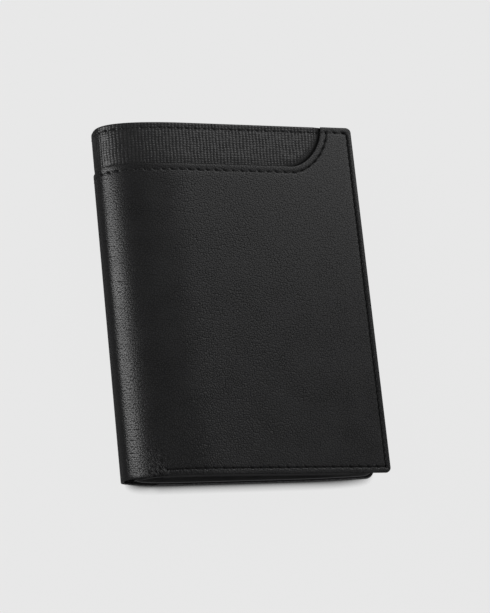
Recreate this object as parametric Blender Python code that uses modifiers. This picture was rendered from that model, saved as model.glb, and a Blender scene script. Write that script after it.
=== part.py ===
"""Vertical bifold wallet, closed and lying on its back cover.

The spine is at -X, the free edges are at +X, the head is at +Y and the wallet rests on Z = 0.
Lengths are in metres. The leather follows one section, drawn in the XZ plane: the back cover,
round the spine and along the front cover. Each ply is a sheet at its own depth under it.
"""
import math

import bmesh
import bpy
import numpy as np

# Overall form
FOLDED_WIDTH = 0.092
HEIGHT = 0.125
SPINE_DEPTH = 0.02135
SPINE_ROUND_REACH = 0.02597
SPINE_ROUND_POWER = 2.83
FREE_EDGE_DEPTH = 0.01713
SLOPE_EASE = 0.004
BACK_NARROWER = 0.0012
BACK_SHORTER = 0.0017
BACK_CURL_RISE = 0.00295
BACK_CURL_LENGTH = 0.030
FRONT_CORNER_RADIUS = 0.0014
BACK_CORNER_RADIUS = 0.0030
INNER_CORNER_RADIUS = 0.0040

# Plies of the covers, from the outside in
LEATHER_THICKNESS = 0.0010
BAND_THICKNESS = 0.0006
LINING_THICKNESS = 0.0004
PANEL_THICKNESS = 0.0006
PLY_GAP = 0.00025
NOTE_GAP = 0.0003
FOLD_GAP = 0.0003
LINING_INSET = 0.0006
PANEL_INSET = 0.0003
INNER_STRIP_DEPTH = 0.0045
INNER_STRIP_EASE = 0.009

# Mouth of the outside pocket, with its scoop at the free edge
MOUTH_DROP = 0.0149
SCOOP_END_INSET = 0.0113
SCOOP_WIDTH = 0.0125
SCOOP_POWER = 1.75
BAND_TUCK = 0.007

# Card slots
CARD_HEIGHT = 0.054
LEAF_THICKNESS = 0.00035
SLOT_SPINE_INSET = 0.012
SLOT_EDGE_INSET = 0.0012
FRONT_SLOT_FIRST_DROP = 0.019
FRONT_SLOT_STEP = 0.016
FRONT_SLOT_TAIL_MIN = 0.004
FRONT_SLOT_COUNT = 4
BACK_SLOT_FIRST_DROP = 0.0075
BACK_SLOT_STEP = 0.012
BACK_SLOT_COUNT = 2
LAST_LEAF_SETTLE_SHARE = 0.75

# Coin pouch
POUCH_SPINE_INSET = 0.016
POUCH_WIDTH = 0.058
POUCH_FOOT = 0.0055
POUCH_HEIGHT = 0.047
POUCH_WALL = 0.0007
POUCH_SPACE = 0.0046
POUCH_CORNER_RADIUS = 0.006

# Flap of the coin pouch
FLAP_LENGTH = 0.024
FLAP_STAND_OFF = 0.0015
FLAP_MOUTH_GAP = 0.0008
FLAP_SIDE_INSET = 0.001
FLAP_FOLD_RADIUS = 0.0016
FLAP_CORNER_RADIUS = 0.009
FLAP_HINGE_RISE = 0.00065
FLAP_REST_CLEARANCE = 0.0005

# Press stud of the flap
SNAP_TIP_INSET = 0.007
SNAP_GAP = 0.0001
SNAP_SHANK_RADIUS = 0.0011
SNAP_HOLE_CLEARANCE = 0.0003
CAP_RADIUS = 0.0045
CAP_THICKNESS = 0.0006
CAP_RIM = 0.0002
SOCKET_RADIUS = 0.0036
SOCKET_BORE_RADIUS = 0.0020
SOCKET_HEIGHT = 0.0010
SOCKET_WEB = 0.00025
STUD_FLANGE_RADIUS = 0.0032
STUD_FLANGE_THICKNESS = 0.00018
STUD_NIPPLE_RADIUS = 0.0016
STUD_NIPPLE_HEIGHT = 0.0007
STUD_NIPPLE_ROUND = 0.0003
POST_RADIUS = 0.0035
POST_THICKNESS = 0.0004

# Fineness of the meshes and of the cuts
CUT_OVERRUN = 0.004
MERGE_DISTANCE = 0.00001
FLAT_STEP = 0.012
ROUND_STEP = 0.0016
TRACE_STEPS = 400
CORNER_STEPS = 5
TURNED_STEPS = 28
SCOOP_STEPS = 12

# Sizes that follow from the ones above
FRONT_SLOPE = (SPINE_DEPTH - FREE_EDGE_DEPTH) / (FOLDED_WIDTH - SPINE_ROUND_REACH)
BACK_WIDTH = FOLDED_WIDTH - BACK_NARROWER
MOUTH_HEIGHT = HEIGHT - MOUTH_DROP
BAND_DEPTH = LEATHER_THICKNESS + PLY_GAP
LINING_DEPTH = BAND_DEPTH + BAND_THICKNESS + PLY_GAP
PANEL_DEPTH = LINING_DEPTH + LINING_THICKNESS + NOTE_GAP
SLOT_DEPTH = PANEL_DEPTH + PANEL_THICKNESS + PLY_GAP
LEAF_STEP = LEAF_THICKNESS + PLY_GAP
POUCH_RIGHT = POUCH_SPINE_INSET + POUCH_WIDTH
POUCH_TOP = POUCH_FOOT + POUCH_HEIGHT
POUCH_FRONT_LOW = PANEL_DEPTH + PANEL_THICKNESS + POUCH_SPACE + 2 * PLY_GAP
POUCH_FRONT_HIGH = POUCH_FRONT_LOW + POUCH_WALL
FLAP_LOW = POUCH_FRONT_HIGH + FLAP_STAND_OFF
FLAP_HIGH = FLAP_LOW + POUCH_WALL
FLAP_HINGE_HEIGHT = PANEL_DEPTH + PANEL_THICKNESS + FLAP_HINGE_RISE
FLAP_BACK = POUCH_TOP + FLAP_MOUTH_GAP + POUCH_WALL
FLAP_TIP = FLAP_BACK - FLAP_LENGTH
FLAP_SWING = FLAP_HIGH - FLAP_HINGE_HEIGHT
SNAP_X = POUCH_SPINE_INSET + POUCH_WIDTH / 2
SNAP_Y = FLAP_TIP + SNAP_TIP_INSET

# Finishes: colour, roughness, metallic
SMOOTH_LEATHER = ((0.021, 0.021, 0.022), 0.48, 0.0)
TEXTURED_LEATHER = ((0.022, 0.022, 0.023), 0.55, 0.0)
INNER_LEATHER = ((0.024, 0.024, 0.025), 0.52, 0.0)
LINING_CLOTH = ((0.016, 0.016, 0.018), 0.85, 0.0)
BLACK_METAL = ((0.060, 0.060, 0.065), 0.30, 1.0)


def clear_scene():
    """Removes whatever the scene holds."""
    for item in list(bpy.data.objects):
        bpy.data.objects.remove(item, do_unlink=True)


def new_collection(name):
    """Makes a collection in the scene."""
    collection = bpy.data.collections.new(name)
    bpy.context.scene.collection.children.link(collection)
    return collection


def add_object(name, data, collection):
    """Makes an object from a mesh, a curve or nothing, and links it."""
    item = bpy.data.objects.new(name, data)
    collection.objects.link(item)
    return item


def add_pivot(name, place, parent, parent_place):
    """Makes an empty on a joint's axis."""
    pivot = add_object(name, None, parts)
    pivot.parent = parent
    pivot.location = tuple(a - b for a, b in zip(place, parent_place))
    pivot["place"] = place
    return pivot


def attach(item, pivot):
    """Hangs a piece, drawn in the wallet's own coordinates, on a body's pivot."""
    item.parent = pivot
    item.location = tuple(a - b for a, b in zip(item.location, pivot["place"]))


def finish(item, look):
    """Gives a piece its own material."""
    colour, roughness, metallic = look
    material = bpy.data.materials.new(item.name + "_finish")
    material.use_nodes = True
    shader = material.node_tree.nodes["Principled BSDF"]
    shader.inputs["Base Color"].default_value = (*colour, 1.0)
    shader.inputs["Roughness"].default_value = roughness
    shader.inputs["Metallic"].default_value = metallic
    item.data.materials.clear()
    item.data.materials.append(material)


def spine_half_height(x):
    """Half height of the rounded spine at a distance from its outermost line."""
    share = min(1.0, max(0.0, 1.0 - x / SPINE_ROUND_REACH))
    return SPINE_DEPTH / 2 * (1.0 - share ** SPINE_ROUND_POWER) ** (1.0 / SPINE_ROUND_POWER)


def front_drop(x):
    """How far the front cover has dropped towards its free edge, eased in where it starts."""
    past = x - SPINE_ROUND_REACH
    if past <= -SLOPE_EASE:
        return 0.0
    if past >= SLOPE_EASE:
        return FRONT_SLOPE * past
    return FRONT_SLOPE * (past + SLOPE_EASE) ** 2 / (4 * SLOPE_EASE)


def back_rise(x):
    """How far the back cover curls up towards its free edge."""
    past = x - (FOLDED_WIDTH - BACK_CURL_LENGTH)
    return BACK_CURL_RISE * (max(0.0, past) / BACK_CURL_LENGTH) ** 2


def trace_section():
    """The outer line of the closed wallet, from the back's free edge round the spine to the front's."""
    points = []
    for i in range(TRACE_STEPS):
        x = BACK_WIDTH + (SPINE_ROUND_REACH - BACK_WIDTH) * i / TRACE_STEPS
        points.append((x, back_rise(x)))
    for i in range(2 * TRACE_STEPS + 1):
        angle = math.pi * (i / (2 * TRACE_STEPS) - 0.5)
        across = abs(math.cos(angle)) ** (2 / SPINE_ROUND_POWER)
        x = SPINE_ROUND_REACH * (1.0 - across)
        upwards = math.copysign(spine_half_height(x), angle)
        z = SPINE_DEPTH / 2 + upwards
        points.append((x, z - (front_drop(x) if angle > 0 else 0.0)))
    for i in range(1, TRACE_STEPS + 1):
        x = SPINE_ROUND_REACH + (FOLDED_WIDTH - SPINE_ROUND_REACH) * i / TRACE_STEPS
        points.append((x, SPINE_DEPTH - front_drop(x)))
    return np.array(points)


class Section:
    """The outer line of the wallet, with its length along it and its inward normals."""

    def __init__(self):
        self.points = trace_section()
        steps = np.diff(self.points, axis=0)
        self.along = np.concatenate([[0.0], np.cumsum(np.hypot(steps[:, 0], steps[:, 1]))])
        ahead = np.gradient(self.points[:, 0], self.along), np.gradient(self.points[:, 1], self.along)
        length = np.hypot(*ahead)
        self.normals = np.stack([ahead[1] / length, -ahead[0] / length], axis=1)
        self.apex = self.along[int(np.argmin(self.points[:, 0]))]
        self.end = self.along[-1]

    def at(self, s):
        """The outer point and the inward normal at a length along the section."""
        point = [float(np.interp(s, self.along, self.points[:, k])) for k in (0, 1)]
        normal = np.array([float(np.interp(s, self.along, self.normals[:, k])) for k in (0, 1)])
        return np.array(point), normal / np.linalg.norm(normal)

    def where_x(self, x, front):
        """The length along the section where one cover passes a distance from the spine."""
        side = self.along >= self.apex if front else self.along <= self.apex
        xs, lengths = self.points[side, 0], self.along[side]
        order = np.argsort(xs)
        return float(np.interp(x, xs[order], lengths[order]))

    def fold(self):
        """The lower fold line: as far from the spine's outermost line as it is above the table."""
        lower = self.along <= self.apex
        excess = self.points[lower, 0] - self.points[lower, 1]
        return float(np.interp(0.0, -excess, self.along[lower]))

    def stations(self, start, stop):
        """Places along the section from start to stop, close together only round the spine."""
        round_start = self.where_x(SPINE_ROUND_REACH + SLOPE_EASE, False)
        round_stop = self.where_x(SPINE_ROUND_REACH + SLOPE_EASE, True)
        curl_start = self.where_x(FOLDED_WIDTH - BACK_CURL_LENGTH, False)
        cuts = [start, *(s for s in (curl_start, round_start, round_stop) if start < s < stop), stop]
        places = [start]
        for low, high in zip(cuts, cuts[1:]):
            middle = (low + high) / 2
            curved = round_start < middle < round_stop
            step = ROUND_STEP if curved else FLAT_STEP
            if middle < curl_start:
                step = BACK_CURL_LENGTH / CORNER_STEPS
            count = max(1, math.ceil((high - low) / step))
            places += [low + (high - low) * (i + 1) / count for i in range(count)]
        return places


def foot_line(s):
    """The foot of the leather: the back cover is shorter, and the spine's foot runs between."""
    if s <= LOWER_FOLD:
        return BACK_SHORTER
    if s >= UPPER_FOLD:
        return 0.0
    return BACK_SHORTER * (UPPER_FOLD - s) / (UPPER_FOLD - LOWER_FOLD)


def raised(line, rise):
    """A foot line moved up by a rise."""
    return lambda s: line(s) + rise


def strip_depth(s):
    """Depth of the inner ply: it stands off from the spine and lies close on both covers."""
    x = SECTION.at(s)[0][0]
    share = min(1.0, max(0.0, x / INNER_STRIP_EASE))
    eased = share * share * (3 - 2 * share)
    return INNER_STRIP_DEPTH + (PANEL_DEPTH - INNER_STRIP_DEPTH) * eased


def value_at(value, s):
    """A row's height or depth, which may follow the place along the section."""
    return value(s) if callable(value) else value


def sheet(name, start, stop, rows, thickness, look, pivot, corner_radius=0.0, rounded_end=None):
    """A ply of leather or cloth: rows of (height, depth) swept along the section, then thickened.

    The sheet's outer face lies at the given depth, and it thickens inwards. The free corners at
    the end named by rounded_end, start or stop, get a radius.
    """
    places = SECTION.stations(start, stop)
    form = bmesh.new()
    grid = []
    for height, depth in rows:
        row = []
        for s in places:
            point, normal = SECTION.at(s)
            x, z = point + normal * value_at(depth, s)
            row.append(form.verts.new((x, value_at(height, s), z)))
        grid.append(row)
    for low, high in zip(grid, grid[1:]):
        for i in range(len(places) - 1):
            form.faces.new((low[i], high[i], high[i + 1], low[i + 1]))
    if rounded_end:
        index = 0 if rounded_end == "start" else -1
        corners = [grid[0][index], grid[-1][index]]
        bmesh.ops.bevel(form, geom=corners, offset=corner_radius, segments=CORNER_STEPS,
                        profile=0.5, affect="VERTICES")
    form.normal_update()
    face = form.faces[:][0]
    inward = SECTION.at((places[0] + places[1]) / 2)[1]
    if face.normal.x * inward[0] + face.normal.z * inward[1] > 0:
        bmesh.ops.reverse_faces(form, faces=form.faces[:])
    data = bpy.data.meshes.new(name)
    form.to_mesh(data)
    form.free()
    item = add_object(name, data, parts)
    thicken(item, thickness)
    data.shade_smooth()
    data.set_sharp_from_angle(angle=math.radians(35))
    finish(item, look)
    attach(item, pivot)
    return item


def thicken(item, thickness):
    """Adds a Solidify that grows to the side opposite the normals."""
    modifier = item.modifiers.new("thickness", "SOLIDIFY")
    modifier.thickness = thickness
    modifier.offset = -1.0
    modifier.use_even_offset = True
    modifier.thickness_clamp = 0.0


def rounded_outline(corners):
    """Corner points with radii, as a closed outline with arcs."""
    outline = []
    count = len(corners)
    for i, (x, y, radius) in enumerate(corners):
        here = np.array((x, y))
        before = np.array(corners[i - 1][:2]) - here
        after = np.array(corners[(i + 1) % count][:2]) - here
        if radius == 0.0:
            outline.append((x, y))
            continue
        before /= np.linalg.norm(before)
        after /= np.linalg.norm(after)
        half = math.acos(float(np.clip(before @ after, -1.0, 1.0))) / 2
        centre = here + (before + after) / np.linalg.norm(before + after) * radius / math.sin(half)
        first = here + before * radius / math.tan(half) - centre
        last = here + after * radius / math.tan(half) - centre
        sweep = math.atan2(first[0] * last[1] - first[1] * last[0], first @ last)
        for k in range(CORNER_STEPS + 1):
            turn = sweep * k / CORNER_STEPS
            turned = (first[0] * math.cos(turn) - first[1] * math.sin(turn),
                      first[0] * math.sin(turn) + first[1] * math.cos(turn))
            outline.append(tuple(centre + turned))
    return outline


def extruded(name, outline, half_length, centre, collection, rotation=(0.0, 0.0, 0.0)):
    """A flat outline as a filled 2D curve, extruded both ways and made a closed mesh."""
    curve = bpy.data.curves.new(name, "CURVE")
    curve.dimensions = "2D"
    curve.fill_mode = "BOTH"
    curve.extrude = half_length
    spline = curve.splines.new("POLY")
    spline.points.add(len(outline) - 1)
    for point, (x, y) in zip(spline.points, outline):
        point.co = (x, y, 0.0, 1.0)
    spline.use_cyclic_u = True
    guide = add_object(name + "_outline", curve, collection)
    bpy.context.view_layer.update()
    evaluated = guide.evaluated_get(bpy.context.evaluated_depsgraph_get())
    data = bpy.data.meshes.new_from_object(evaluated)
    bpy.data.objects.remove(guide, do_unlink=True)
    form = bmesh.new()
    form.from_mesh(data)
    bmesh.ops.remove_doubles(form, verts=form.verts[:], dist=MERGE_DISTANCE)
    bmesh.ops.recalc_face_normals(form, faces=form.faces[:])
    form.to_mesh(data)
    form.free()
    data.name = name
    item = add_object(name, data, collection)
    item.location = centre
    item.rotation_euler = rotation
    return item


def hide_cutter(item):
    """A cutter shows as wire and is left out of renders."""
    item.hide_render = True
    item.display_type = "WIRE"


def boolean(item, cutter, operation):
    """Cuts or intersects a piece with a cutter."""
    modifier = item.modifiers.new(cutter.name, "BOOLEAN")
    modifier.operation = operation
    modifier.object = cutter
    modifier.solver = "EXACT"


def round_cutter(name, radius, place, length):
    """A cylinder along Z for a hole."""
    form = bmesh.new()
    bmesh.ops.create_cone(form, cap_ends=True, segments=TURNED_STEPS, radius1=radius, radius2=radius,
                          depth=length)
    data = bpy.data.meshes.new(name)
    form.to_mesh(data)
    form.free()
    item = add_object(name, data, cutters)
    item.location = place
    hide_cutter(item)
    return item


def turned(name, profile, place, look, pivot, closed=False):
    """A turned piece: a profile of (radius, height) with a Screw modifier."""
    form = bmesh.new()
    verts = [form.verts.new((radius, 0.0, height)) for radius, height in profile]
    for first, second in zip(verts, verts[1:]):
        form.edges.new((first, second))
    if closed:
        form.edges.new((verts[-1], verts[0]))
    data = bpy.data.meshes.new(name)
    form.to_mesh(data)
    form.free()
    item = add_object(name, data, parts)
    item.location = place
    screw = item.modifiers.new("turning", "SCREW")
    screw.steps = TURNED_STEPS
    screw.render_steps = TURNED_STEPS
    screw.use_merge_vertices = True
    screw.merge_threshold = MERGE_DISTANCE
    screw.use_smooth_shade = True
    finish(item, look)
    attach(item, pivot)
    return item


def make_smooth_leather():
    """The outer leather in its three stretches, with the pocket mouth and its scoop."""
    straight = [(foot_line, 0.0), (MOUTH_HEIGHT, 0.0)]
    back = sheet("back_leather", 0.0, LOWER_FOLD - FOLD_GAP / 2, straight, LEATHER_THICKNESS,
                 SMOOTH_LEATHER, back_pivot)
    round_free_corner(back)
    sheet("spine_leather", LOWER_FOLD + FOLD_GAP / 2, UPPER_FOLD - FOLD_GAP / 2, straight,
          LEATHER_THICKNESS, SMOOTH_LEATHER, spine_pivot)
    full = [(foot_line, 0.0), (HEIGHT, 0.0)]
    front = sheet("front_leather", UPPER_FOLD + FOLD_GAP / 2, SECTION.end, full, LEATHER_THICKNESS,
                  SMOOTH_LEATHER, front_pivot, FRONT_CORNER_RADIUS, "stop")
    boolean(front, scoop_cutter(), "DIFFERENCE")


def round_free_corner(item, at_head=False):
    """Rounds the one free corner of a two-row back sheet, at its foot or at its head."""
    form = bmesh.new()
    form.from_mesh(item.data)
    form.verts.ensure_lookup_table()
    corner = form.verts[len(form.verts) // 2 if at_head else 0]
    bmesh.ops.bevel(form, geom=[corner], offset=BACK_CORNER_RADIUS, segments=CORNER_STEPS,
                    profile=0.5, affect="VERTICES")
    form.to_mesh(item.data)
    form.free()


def scoop_cutter():
    """Cuts the front leather away above the mouth, up to the scoop."""
    end = FOLDED_WIDTH - SCOOP_END_INSET
    outline = [(-CUT_OVERRUN, HEIGHT + CUT_OVERRUN), (-CUT_OVERRUN, MOUTH_HEIGHT)]
    for i in range(SCOOP_STEPS + 1):
        share = math.sin(math.pi / 2 * i / SCOOP_STEPS)
        depth = MOUTH_DROP * (1.0 - share ** SCOOP_POWER) ** (1.0 / SCOOP_POWER)
        outline.append((end - SCOOP_WIDTH * (1.0 - share), HEIGHT - depth))
    outline.append((end, HEIGHT + CUT_OVERRUN))
    half = SPINE_DEPTH
    cutter = extruded("scoop_cutter", outline, half, (0.0, 0.0, SPINE_DEPTH), cutters)
    attach(cutter, back_pivot)
    hide_cutter(cutter)
    return cutter


def make_textured_leather():
    """The textured leather under the mouth: a whole panel on the front, a band elsewhere."""
    band = [(MOUTH_HEIGHT - BAND_TUCK, BAND_DEPTH), (HEIGHT, BAND_DEPTH)]
    back = sheet("back_textured_band", 0.0, LOWER_FOLD - FOLD_GAP / 2, band, BAND_THICKNESS,
                 TEXTURED_LEATHER, back_pivot)
    round_free_corner(back, at_head=True)
    sheet("spine_textured_band", LOWER_FOLD + FOLD_GAP / 2, UPPER_FOLD - FOLD_GAP / 2, band,
          BAND_THICKNESS, TEXTURED_LEATHER, spine_pivot)
    whole = [(foot_line, BAND_DEPTH), (HEIGHT, BAND_DEPTH)]
    sheet("front_textured_panel", UPPER_FOLD + FOLD_GAP / 2, SECTION.end, whole, BAND_THICKNESS,
          TEXTURED_LEATHER, front_pivot, INNER_CORNER_RADIUS, "stop")


def make_linings():
    """The cloth that faces the note compartment, in its three stretches."""
    rows = [(raised(foot_line, LINING_INSET), LINING_DEPTH), (HEIGHT - LINING_INSET, LINING_DEPTH)]
    sheet("back_lining", LINING_INSET, LOWER_FOLD - FOLD_GAP / 2, rows, LINING_THICKNESS,
          LINING_CLOTH, back_pivot, INNER_CORNER_RADIUS, "start")
    sheet("spine_lining", LOWER_FOLD + FOLD_GAP / 2, UPPER_FOLD - FOLD_GAP / 2, rows,
          LINING_THICKNESS, LINING_CLOTH, spine_pivot)
    sheet("front_lining", UPPER_FOLD + FOLD_GAP / 2, SECTION.end - LINING_INSET, rows,
          LINING_THICKNESS, LINING_CLOTH, front_pivot, INNER_CORNER_RADIUS, "stop")


def make_inner_panels():
    """The inner leather that carries the pockets and runs as a looser strip round the spine."""
    rows = [(raised(foot_line, PANEL_INSET), strip_depth), (HEIGHT - PANEL_INSET, strip_depth)]
    sheet("back_inner_panel", PANEL_INSET, LOWER_FOLD - FOLD_GAP / 2, rows, PANEL_THICKNESS,
          INNER_LEATHER, back_pivot, INNER_CORNER_RADIUS, "start")
    sheet("spine_inner_strip", LOWER_FOLD + FOLD_GAP / 2, UPPER_FOLD - FOLD_GAP / 2, rows,
          PANEL_THICKNESS, INNER_LEATHER, spine_pivot)
    sheet("front_inner_panel", UPPER_FOLD + FOLD_GAP / 2, SECTION.end - PANEL_INSET, rows,
          PANEL_THICKNESS, INNER_LEATHER, front_pivot, INNER_CORNER_RADIUS, "stop")


def make_front_slots():
    """Card slots inside the front: each leaf lies over the last, and the lowest settles at the foot."""
    start = SECTION.where_x(SLOT_SPINE_INSET, True)
    stop = SECTION.end - SLOT_EDGE_INSET
    settled = 0.0
    for i in range(FRONT_SLOT_COUNT):
        mouth = HEIGHT - FRONT_SLOT_FIRST_DROP - i * FRONT_SLOT_STEP
        depth = SLOT_DEPTH + i * LEAF_STEP
        tail = max(mouth - CARD_HEIGHT, FRONT_SLOT_TAIL_MIN)
        rows = [(tail, depth), (mouth, depth)]
        if i == FRONT_SLOT_COUNT - 1:
            rows = [(PANEL_INSET, SLOT_DEPTH), (settled, depth), (mouth, depth)]
        settled = tail * LAST_LEAF_SETTLE_SHARE
        sheet(f"front_card_slot_{i + 1}", start, stop, rows, LEAF_THICKNESS, INNER_LEATHER,
              front_pivot)


def make_back_slots():
    """Card slots inside the back, above the coin pouch and clear of its opened flap."""
    start = SECTION.where_x(BACK_WIDTH - SLOT_EDGE_INSET, False)
    stop = SECTION.where_x(SLOT_SPINE_INSET, False)
    tail = FLAP_BACK + FLAP_SWING + FLAP_REST_CLEARANCE
    for i in range(BACK_SLOT_COUNT):
        mouth = HEIGHT - BACK_SLOT_FIRST_DROP - i * BACK_SLOT_STEP
        depth = SLOT_DEPTH + i * LEAF_STEP
        sheet(f"back_card_slot_{i + 1}", start, stop, [(tail, depth), (mouth, depth)],
              LEAF_THICKNESS, INNER_LEATHER, back_pivot)


def panel_top(x):
    """Height of the back inner panel's upper face at a distance from the spine."""
    lower = SECTION.along <= SECTION.apex
    depths = np.array([strip_depth(s) + PANEL_THICKNESS for s in SECTION.along[lower]])
    inner = SECTION.points[lower] + SECTION.normals[lower] * depths[:, None]
    order = np.argsort(inner[:, 0])
    return float(np.interp(x, inner[order, 0], inner[order, 1]))


def make_pouch_gusset():
    """The pouch's wall: down one side, along the foot and up the other, on the back inner panel."""
    left, right = POUCH_SPINE_INSET, POUCH_RIGHT
    corners = [(left, POUCH_TOP, 0.0), (left, POUCH_FOOT, POUCH_CORNER_RADIUS),
               (right, POUCH_FOOT, POUCH_CORNER_RADIUS), (right, POUCH_TOP, 0.0)]
    outline = rounded_outline(corners)
    top = POUCH_FRONT_LOW - PLY_GAP
    form = bmesh.new()
    low = [form.verts.new((x, y, panel_top(x) + PLY_GAP)) for x, y in outline]
    high = [form.verts.new((x, y, top)) for x, y in outline]
    for i in range(len(outline) - 1):
        form.faces.new((low[i], low[i + 1], high[i + 1], high[i]))
    data = bpy.data.meshes.new("pouch_gusset")
    form.to_mesh(data)
    form.free()
    item = add_object("pouch_gusset", data, parts)
    thicken(item, POUCH_WALL)
    finish(item, INNER_LEATHER)
    attach(item, back_pivot)


def make_pouch_front():
    """The pouch's front, a plate with rounded lower corners and a hole for the press stud."""
    left, right = POUCH_SPINE_INSET, POUCH_RIGHT
    corners = [(left, POUCH_TOP, 0.0), (left, POUCH_FOOT, POUCH_CORNER_RADIUS),
               (right, POUCH_FOOT, POUCH_CORNER_RADIUS), (right, POUCH_TOP, 0.0)]
    middle = (POUCH_FRONT_LOW + POUCH_FRONT_HIGH) / 2
    item = extruded("pouch_front", rounded_outline(corners), POUCH_WALL / 2, (0.0, 0.0, middle), parts)
    finish(item, INNER_LEATHER)
    attach(item, back_pivot)
    hole = round_cutter("post_hole_cutter", SNAP_SHANK_RADIUS + SNAP_HOLE_CLEARANCE,
                        (SNAP_X, SNAP_Y, middle), POUCH_WALL + CUT_OVERRUN)
    attach(hole, back_pivot)
    boolean(item, hole, "DIFFERENCE")


def make_coin_flap():
    """The pouch's flap: it rises behind the mouth, folds over and ends in a round-cornered tongue."""
    wall_foot = FLAP_HINGE_HEIGHT
    profile = [(FLAP_BACK, wall_foot, 0.0), (FLAP_BACK, FLAP_HIGH, FLAP_FOLD_RADIUS),
               (FLAP_TIP, FLAP_HIGH, 0.0), (FLAP_TIP, FLAP_LOW, 0.0),
               (FLAP_BACK - POUCH_WALL, FLAP_LOW, FLAP_FOLD_RADIUS - POUCH_WALL),
               (FLAP_BACK - POUCH_WALL, wall_foot, 0.0)]
    left = POUCH_SPINE_INSET + FLAP_SIDE_INSET
    right = POUCH_RIGHT - FLAP_SIDE_INSET
    upright = (math.radians(90), 0.0, math.radians(90))
    item = extruded("coin_flap", rounded_outline(profile), (right - left) / 2,
                    ((left + right) / 2, 0.0, 0.0), parts, upright)
    finish(item, INNER_LEATHER)
    attach(item, flap_pivot)
    over = CUT_OVERRUN
    plan = [(left - over, FLAP_BACK + over, 0.0), (left - over, FLAP_TIP + FLAP_CORNER_RADIUS, 0.0),
            (left, FLAP_TIP + FLAP_CORNER_RADIUS, 0.0)]
    plan += quarter(left + FLAP_CORNER_RADIUS, FLAP_TIP + FLAP_CORNER_RADIUS, 180)
    plan += quarter(right - FLAP_CORNER_RADIUS, FLAP_TIP + FLAP_CORNER_RADIUS, 270)
    plan += [(right + over, FLAP_TIP + FLAP_CORNER_RADIUS, 0.0), (right + over, FLAP_BACK + over, 0.0)]
    tongue = extruded("flap_plan_cutter", [point[:2] for point in plan], FLAP_HIGH,
                      (0.0, 0.0, FLAP_HIGH), cutters)
    attach(tongue, flap_pivot)
    hide_cutter(tongue)
    boolean(item, tongue, "INTERSECT")
    hole = round_cutter("cap_hole_cutter", SNAP_SHANK_RADIUS + SNAP_HOLE_CLEARANCE,
                        (SNAP_X, SNAP_Y, (FLAP_LOW + FLAP_HIGH) / 2), POUCH_WALL + CUT_OVERRUN)
    attach(hole, flap_pivot)
    boolean(item, hole, "DIFFERENCE")


def quarter(x, y, start_degrees):
    """A quarter turn of the flap's corner, without its first point."""
    radius = FLAP_CORNER_RADIUS
    points = []
    for i in range(1, CORNER_STEPS + 2):
        angle = math.radians(start_degrees + 90 * i / (CORNER_STEPS + 1))
        points.append((x + radius * math.cos(angle), y + radius * math.sin(angle), 0.0))
    return points


def make_snap():
    """The press stud: cap and socket on the flap, stud and post on the pouch's front."""
    place = (SNAP_X, SNAP_Y, 0.0)
    seat = FLAP_HIGH + SNAP_GAP
    socket_top = FLAP_LOW - SNAP_GAP
    socket_low = socket_top - SOCKET_HEIGHT
    shank_foot = socket_top - SOCKET_WEB
    cap = [(0.0, seat + CAP_THICKNESS), (CAP_RADIUS / 2, seat + CAP_THICKNESS),
           (CAP_RADIUS - CAP_RIM, seat + CAP_THICKNESS / 2), (CAP_RADIUS, seat + CAP_RIM),
           (CAP_RADIUS, seat), (SNAP_SHANK_RADIUS, seat), (SNAP_SHANK_RADIUS, shank_foot),
           (0.0, shank_foot)]
    turned("snap_cap", cap, place, BLACK_METAL, flap_pivot)
    eye = SNAP_SHANK_RADIUS + SNAP_HOLE_CLEARANCE
    socket = [(SOCKET_RADIUS, socket_top), (SOCKET_RADIUS, socket_low),
              (SOCKET_BORE_RADIUS, socket_low), (SOCKET_BORE_RADIUS, shank_foot),
              (eye, shank_foot), (eye, socket_top)]
    turned("snap_socket", socket, place, BLACK_METAL, flap_pivot, closed=True)
    base = POUCH_FRONT_HIGH + SNAP_GAP
    shoulder = base + STUD_FLANGE_THICKNESS
    stud = [(0.0, shoulder + STUD_NIPPLE_HEIGHT),
            (STUD_NIPPLE_RADIUS - STUD_NIPPLE_ROUND, shoulder + STUD_NIPPLE_HEIGHT),
            (STUD_NIPPLE_RADIUS, shoulder + STUD_NIPPLE_HEIGHT - STUD_NIPPLE_ROUND),
            (STUD_NIPPLE_RADIUS - STUD_NIPPLE_ROUND, shoulder),
            (STUD_FLANGE_RADIUS, shoulder), (STUD_FLANGE_RADIUS, base), (0.0, base)]
    turned("snap_stud", stud, place, BLACK_METAL, back_pivot)
    under = POUCH_FRONT_LOW - SNAP_GAP
    post = [(0.0, POUCH_FRONT_HIGH), (SNAP_SHANK_RADIUS, POUCH_FRONT_HIGH), (SNAP_SHANK_RADIUS, under),
            (POST_RADIUS, under), (POST_RADIUS, under - POST_THICKNESS), (0.0, under - POST_THICKNESS)]
    turned("snap_post", post, place, BLACK_METAL, back_pivot)


clear_scene()
parts = new_collection("vertical_wallet")
cutters = new_collection("wallet_cutters")

SECTION = Section()
LOWER_FOLD = SECTION.fold()
UPPER_FOLD = 2 * SECTION.apex - LOWER_FOLD
lower_point = SECTION.at(LOWER_FOLD)[0]
upper_point = SECTION.at(UPPER_FOLD)[0]

back_pivot = add_pivot("wallet", (0.0, 0.0, 0.0), None, (0.0, 0.0, 0.0))
spine_pivot = add_pivot("back_fold_pivot", (lower_point[0], 0.0, lower_point[1]), back_pivot,
                        back_pivot["place"])
front_pivot = add_pivot("front_fold_pivot", (upper_point[0], 0.0, upper_point[1]), spine_pivot,
                        spine_pivot["place"])
flap_pivot = add_pivot("coin_flap_pivot", (0.0, FLAP_BACK, FLAP_HINGE_HEIGHT), back_pivot,
                       back_pivot["place"])
back_pivot.location = (-FOLDED_WIDTH / 2, -HEIGHT / 2, 0.0)

make_smooth_leather()
make_textured_leather()
make_linings()
make_inner_panels()
make_front_slots()
make_back_slots()
make_pouch_gusset()
make_pouch_front()
make_coin_flap()
make_snap()
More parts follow.
